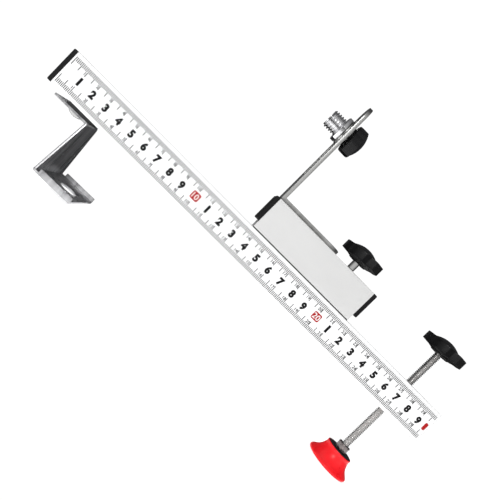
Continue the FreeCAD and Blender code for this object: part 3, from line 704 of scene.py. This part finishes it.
bpy.ops.mesh.primitive_cylinder_add(
    vertices=32, radius=KNOB_BASE, depth=KNOB_SKIRT, location=(0, 0, KNOB_SKIRT / 2))
knob = bpy.context.object
bpy.ops.object.transform_apply(location=True)
bpy.ops.object.mode_set(mode="EDIT")
side_rings = [
    (8.5 * MM, 0.8 * MM), (9.4 * MM, WING_LOW), (KNOB_CROWN, 2.4 * MM), (KNOB_CROWN, 5.2 * MM),
    (KNOB_CROWN, KNOB_SHOULDER)]
dome_rings = [(dome_width(height * MM), height * MM) for height in (7.7, 8.7, 9.6, 10.2, 10.5)]
pick_faces(knob, lambda face: face.normal.z > FACING)
grow_rings(knob, KNOB_BASE, side_rings + dome_rings)
pick_faces(
    knob, lambda face: face.normal.z < -FACING and face.calc_center_median().z < 0.1 * MM)
bpy.ops.mesh.inset(thickness=BASE_RIM)
bpy.ops.mesh.extrude_region_move(TRANSFORM_OT_translate={"value": (0, 0, BASE_HOLLOW)})
for side in (-1, 1):
    def on_wing(face, side=side):
        middle = face.calc_center_median()
        aside = abs(math.atan2(middle.y, side * middle.x))
        upright_face = abs(face.normal.z) < FACING
        return WING_LOW < middle.z < WING_HIGH and aside < WING_ARC and upright_face
    pick_faces(knob, on_wing)
    last_width = WING_ROOT
    for reach, half_width in WING_STATIONS:
        bpy.ops.mesh.extrude_region_move()
        bpy.ops.transform.resize(
            value=(0, half_width / last_width, WING_TAPER),
            center_override=(side * reach * MM, 0, WING_HIGH))
        last_width = half_width
bpy.ops.object.mode_set(mode="OBJECT")
ease = knob.modifiers.new("eased_edges", "BEVEL")
ease.limit_method = "ANGLE"
ease.angle_limit = math.radians(28)
ease.width = 0.45 * MM
ease.segments = 2
round_off = knob.modifiers.new("rounding", "SUBSURF")
round_off.levels = round_off.render_levels = 2
apply_all(knob)
bpy.ops.object.shade_smooth()
knob.data.materials.append(knob_plastic)
KNOB_MESH = knob.data
bpy.data.objects.remove(knob)


def place_knob(name, base, axis_turn, spin):
    """A copy of the knob, spun in degrees on its own axis, turned and set on its base."""
    mesh = KNOB_MESH.copy()
    spun = Matrix.Rotation(math.radians(spin), 4, "Z")
    mesh.transform(Matrix.Translation(base) @ axis_turn @ spun)
    copy = bpy.data.objects.new(name, mesh)
    bpy.context.scene.collection.objects.link(copy)
    return copy


UPRIGHT = Matrix.Identity(4)
ALONG_RAIL = Matrix.Rotation(math.pi / 2, 4, "Y")
LOCK_SPIN = -53
CLAMP_SPIN = -60
ADAPTER_SPIN = -60
lock_low, lock_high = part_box("lock_knob")
clamp_low, clamp_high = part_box("clamp_knob")
adapter_low, adapter_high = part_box("adapter_knob")
lock_middle = (lock_low + lock_high) / 2
clamp_middle = (clamp_low + clamp_high) / 2
adapter_middle = (adapter_low + adapter_high) / 2
lock_base = Vector((lock_middle.x, lock_middle.y, lock_low.z))
clamp_base = Vector((clamp_middle.x, clamp_middle.y, clamp_low.z))
adapter_base = Vector((adapter_low.x, adapter_middle.y, adapter_middle.z))

lock_knob = place_knob("lock_wing_knob", lock_base, UPRIGHT, LOCK_SPIN)
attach(lock_knob, "lock_screw")
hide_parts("lock_knob")
clamp_knob = place_knob("clamp_wing_knob", clamp_base, UPRIGHT, CLAMP_SPIN)
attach(clamp_knob, "clamp_screw")
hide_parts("clamp_knob")
adapter_knob = place_knob("adapter_wing_knob", adapter_base, ALONG_RAIL, ADAPTER_SPIN)
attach(adapter_knob, "adapter_screw")
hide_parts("adapter_knob")


# ==== clamp rod ===============================================================
# A 5 mm steel rod, threaded from end to end at 1.2 mm a turn. It screws through two square
# nuts in the rail's slots, so the knob on its top drives the cup down on the tile.

dark_steel = finish("dark_steel", (0.62, 0.61, 0.60), 0.20, metallic=1.0)
oil = grain(dark_steel, 90, detail=3)
blend_colour(dark_steel, oil, [(0.3, (0.54, 0.53, 0.52)), (0.7, (0.68, 0.67, 0.66))])
vary_gloss(dark_steel, oil, 0.16, 0.26)

ROD_RADIUS = 2.5 * MM
ROD_ROOT = 1.85 * MM
ROD_PITCH = 1.2 * MM
THREAD_STEPS = 40
THREAD_ROWS = 10
THREAD_FLANK = 1.5
THREAD_FLAT = 0.25
THREAD_RUN_OUT = 0.6
THREAD_SMOOTH_BELOW = math.radians(38)


def thread(name, crest, root, pitch, low, high):
    """A right-hand screw thread on the Z axis, run out to its root at both ends and closed."""
    rows = math.ceil((high - low) / pitch * THREAD_ROWS)
    bpy.ops.mesh.primitive_grid_add(x_subdivisions=THREAD_STEPS, y_subdivisions=rows, size=1)
    screw = bpy.context.object
    screw.name = name
    for vertex in screw.data.vertices:
        turn = vertex.co.x + 0.5
        z = low + (vertex.co.y + 0.5) * (high - low)
        share = (z / pitch - turn) % 1.0
        ridge = min(1.0, max(0.0, THREAD_FLANK * (1 - abs(2 * share - 1)) - THREAD_FLAT))
        run_out = min(1.0, min(z - low, high - z) / (THREAD_RUN_OUT * pitch))
        radius = root + (crest - root) * min(ridge, run_out)
        angle = 2 * math.pi * turn
        vertex.co = (radius * math.cos(angle), radius * math.sin(angle), z)
    bpy.ops.object.mode_set(mode="EDIT")
    bpy.ops.mesh.select_all(action="SELECT")
    bpy.ops.mesh.remove_doubles(threshold=WELD)
    bpy.ops.mesh.fill_holes(sides=0)
    bpy.ops.mesh.select_all(action="SELECT")
    bpy.ops.mesh.normals_make_consistent(inside=False)
    bpy.ops.object.mode_set(mode="OBJECT")
    bpy.ops.object.shade_smooth_by_angle(angle=THREAD_SMOOTH_BELOW)
    return screw


rod_low, rod_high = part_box("clamp_rod")
clamp_rod = thread(
    "threaded_clamp_rod", ROD_RADIUS, ROD_ROOT, ROD_PITCH, rod_low.z, rod_high.z)
clamp_rod.data.transform(Matrix.Translation(((rod_low.x + rod_high.x) / 2, 0, 0)))
clamp_rod.data.materials.append(dark_steel)
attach(clamp_rod, "clamp_screw")
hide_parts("clamp_rod")

nut_steel = finish("nut_steel", (0.30, 0.27, 0.265), 0.34, metallic=1.0)
nut_stain = grain(nut_steel, 200, detail=2)
blend_colour(nut_steel, nut_stain, [(0.3, (0.24, 0.21, 0.205)), (0.7, (0.38, 0.34, 0.335))])
vary_gloss(nut_steel, nut_stain, 0.28, 0.44)
eased_copy("cup_nut", "chamfered_cup_nut", 0.45, nut_steel, "clamp_screw")
paint_node("cup_disc", black_plastic)


# ==== lock stud ===============================================================
# The lock knob's M5 screw: a plain polished shank under the knob, threaded where it
# runs down through its brass bush in the block to a nylon pad on the rail.


def turned(name, outline, steps):
    """A lathe shape: (radius, height) points in mm, turned once about the Z axis."""
    bpy.ops.mesh.primitive_plane_add(size=1)
    shape = bpy.context.object
    shape.name = name
    bpy.ops.object.mode_set(mode="EDIT")
    profile = bmesh.from_edit_mesh(shape.data)
    bmesh.ops.delete(profile, geom=profile.verts[:], context="VERTS")
    corners = [profile.verts.new((radius * MM, 0, height * MM)) for radius, height in outline]
    for first, second in zip(corners, corners[1:]):
        profile.edges.new((first, second))
    bmesh.update_edit_mesh(shape.data)
    bpy.ops.object.mode_set(mode="OBJECT")
    lathe = shape.modifiers.new("lathe", "SCREW")
    lathe.axis = "Z"
    lathe.steps = lathe.render_steps = steps
    apply_all(shape)
    bpy.ops.object.mode_set(mode="EDIT")
    bpy.ops.mesh.select_all(action="SELECT")
    bpy.ops.mesh.remove_doubles(threshold=2e-7)
    bpy.ops.mesh.normals_make_consistent(inside=False)
    bpy.ops.object.mode_set(mode="OBJECT")
    bpy.ops.object.shade_smooth_by_angle(angle=SMOOTH_BELOW)
    return shape


def fuse(piece, other, operation="UNION"):
    """Joins a closed shape to another as one solid, or cuts it out of it."""
    work = piece.modifiers.new("fused", "BOOLEAN")
    work.operation = operation
    work.solver = "EXACT"
    work.object = other
    apply_all(piece)
    bpy.data.objects.remove(other)
    return piece


stud_steel = finish("stud_steel", (0.60, 0.60, 0.59), 0.14, metallic=1.0)
polish = grain(stud_steel, 120, detail=3)
blend_colour(stud_steel, polish, [(0.3, (0.52, 0.52, 0.51)), (0.7, (0.66, 0.66, 0.65))])
vary_gloss(stud_steel, polish, 0.10, 0.18)
stud_low, stud_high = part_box("lock_stud")
STUD_RADIUS = 2.5
STUD_ROOT = 2.02
STUD_PITCH = 0.8
STUD_CHAMFER = 0.4
SHANK_LOW = 96.0
SHANK_STEPS = 64
stud_thread = thread(
    "stud_thread", STUD_RADIUS * MM, STUD_ROOT * MM, STUD_PITCH * MM,
    stud_low.z, SHANK_LOW * MM + STUD_CHAMFER * MM)
stud_top = stud_high.z / MM
shank = turned("shank", [
    (0, SHANK_LOW), (2.2, SHANK_LOW), (STUD_RADIUS, SHANK_LOW + STUD_CHAMFER),
    (STUD_RADIUS, stud_top - STUD_CHAMFER), (2.1, stud_top), (0, stud_top)], SHANK_STEPS)
lock_stud = fuse(shank, stud_thread)
lock_stud.name = lock_stud.data.name = "threaded_lock_stud"
bpy.ops.object.shade_smooth_by_angle(angle=THREAD_SMOOTH_BELOW)
lock_stud.data.transform(Matrix.Translation(((stud_low.x + stud_high.x) / 2, 0, 0)))
lock_stud.data.materials.append(stud_steel)
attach(lock_stud, "lock_screw")
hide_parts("lock_stud")
paint_node("cup_core", plated_steel)
brass = finish("brass", (0.75, 0.55, 0.25), 0.3, metallic=1.0)
tarnish = grain(brass, 220, detail=5)
blend_colour(brass, tarnish, [(0.3, (0.55, 0.38, 0.16)), (0.7, (0.78, 0.60, 0.30))])
vary_gloss(brass, tarnish, 0.22, 0.42)
paint_node("lock_insert", brass)
nylon = finish("nylon", (0.80, 0.78, 0.72), 0.5)
scuffs = grain(nylon, 300, detail=5)
blend_colour(nylon, scuffs, [(0.3, (0.70, 0.68, 0.62)), (0.7, (0.84, 0.82, 0.77))])
vary_gloss(nylon, scuffs, 0.42, 0.6)
paint_node("lock_pad", nylon)


# ==== threaded adapter ========================================================
# Turned from 15 mm hexagon aluminium bar: a collar to hold with a spanner, and an
# M12 x 1.75 thread that screws into the grinder's side-handle socket.

adapter_aluminium = finish("adapter_aluminium", (0.86, 0.86, 0.87), 0.22, metallic=1.0)
turning = grain(adapter_aluminium, 260, (1, 0.2, 0.2), detail=1)
blend_colour(adapter_aluminium, turning, [(0.3, (0.82, 0.82, 0.83)), (0.7, (0.92, 0.92, 0.93))])
vary_gloss(adapter_aluminium, turning, 0.20, 0.28)
raise_grain(adapter_aluminium, grain(adapter_aluminium, 220, detail=1), 0.006 * MM, 0.3, eased=0)

COLLAR_THICKNESS = 3.2 * MM
COLLAR_INSET = 0.9 * MM
COLLAR_CHAMFER = 0.45 * MM
HEX_FLATS = 15.2 * MM
HEX_CORNER = HEX_FLATS / math.sqrt(3)
ADAPTER_RADIUS = 6.0 * MM
ADAPTER_ROOT = 4.95 * MM
ADAPTER_PITCH = 1.75 * MM
THREAD_SUNK = 0.4 * MM
BORE_RADIUS = 3.05 * MM
BORE_DEPTH = 9.5 * MM
adapter_low, adapter_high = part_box("threaded_adapter")
adapter_middle = (adapter_low + adapter_high) / 2
adapter_length = adapter_high.x - adapter_low.x
bpy.ops.mesh.primitive_cylinder_add(
    vertices=6, radius=HEX_CORNER, depth=COLLAR_THICKNESS, location=(0, 0, COLLAR_THICKNESS / 2))
collar = bpy.context.object
bpy.ops.object.transform_apply(location=True)
bpy.ops.object.mode_set(mode="EDIT")
pick_faces(collar, lambda face: abs(face.normal.z) > FACING)
bpy.ops.mesh.inset(thickness=COLLAR_INSET, use_individual=True)
bpy.ops.object.mode_set(mode="OBJECT")
for vertex in collar.data.vertices:
    from_axis = Vector((vertex.co.x, vertex.co.y)).length
    if from_axis > HEX_CORNER - 0.1 * MM:
        vertex.co.z += COLLAR_CHAMFER if vertex.co.z < COLLAR_THICKNESS / 2 else -COLLAR_CHAMFER
ease = collar.modifiers.new("eased_edges", "BEVEL")
ease.width = 0.2 * MM
ease.segments = 2
apply_all(collar)
male_thread = thread(
    "male_thread", ADAPTER_RADIUS, ADAPTER_ROOT, ADAPTER_PITCH,
    COLLAR_THICKNESS - THREAD_SUNK, adapter_length)
bpy.ops.mesh.primitive_cylinder_add(vertices=64, radius=BORE_RADIUS, depth=2 * BORE_DEPTH)
drill = bpy.context.object
adapter = fuse(fuse(collar, male_thread), drill, "DIFFERENCE")
adapter.name = adapter.data.name = "threaded_hex_adapter"
bpy.ops.object.shade_smooth_by_angle(angle=math.radians(30))
adapter_seat = Matrix.Translation((adapter_high.x, adapter_middle.y, adapter_middle.z))
adapter.data.transform(adapter_seat @ Matrix.Rotation(-math.pi / 2, 4, "Y"))
adapter.data.materials.append(adapter_aluminium)
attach(adapter, "adapter")
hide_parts("threaded_adapter")


# ==== suction cup =============================================================
# Moulded red rubber on a metal socket, in which the rod's tip turns. A black disc
# and a nut close its top; the rim is thin and flares to seal on the tile.

red_rubber = finish("red_rubber", (0.88, 0.008, 0.014), 0.30, specular=0.35)
bloom = grain(red_rubber, 140, detail=4)
blend_colour(red_rubber, bloom, [(0.3, (0.84, 0.006, 0.012)), (0.7, (0.92, 0.011, 0.017))])
vary_gloss(red_rubber, bloom, 0.26, 0.36)
raise_grain(red_rubber, grain(red_rubber, 900, detail=3), 0.006 * MM, 0.3, eased=0)

# Radius and height in mm: out under the hollow, round the rim, up the waist, over the
# collar and down into the socket's seat.
CUP_STEPS = 48
CUP_OUTLINE = [
    (0, 5.0), (3.0, 5.0), (5.8, 4.9), (8.6, 3.6), (11.4, 1.7), (13.5, 0.2), (13.9, 0.0),
    (14.6, 0.0), (15.0, 0.3), (15.1, 0.9), (15.0, 1.45), (14.4, 2.1), (12.9, 3.35),
    (11.5, 4.75), (10.5, 6.4), (9.8, 8.2), (9.45, 9.6), (9.4, 10.6), (9.45, 11.3),
    (9.35, 11.8), (9.1, 11.95), (8.9, 11.8), (8.85, 11.3), (8.6, 11.2), (5.7, 11.2),
    (5.5, 11.1), (5.5, 6.2), (5.3, 6.0), (0, 6.0)]

cup_low, cup_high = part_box("suction_cup")
cup = turned("flared_cup", CUP_OUTLINE, CUP_STEPS)
smooth = cup.modifiers.new("moulded", "SUBSURF")
smooth.levels = smooth.render_levels = 2
apply_all(cup)
bpy.ops.object.shade_smooth()
cup.data.transform(Matrix.Translation(((cup_low.x + cup_high.x) / 2, 0, 0)))
cup.data.materials.append(red_rubber)
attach(cup, "clamp_foot")
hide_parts("suction_cup")
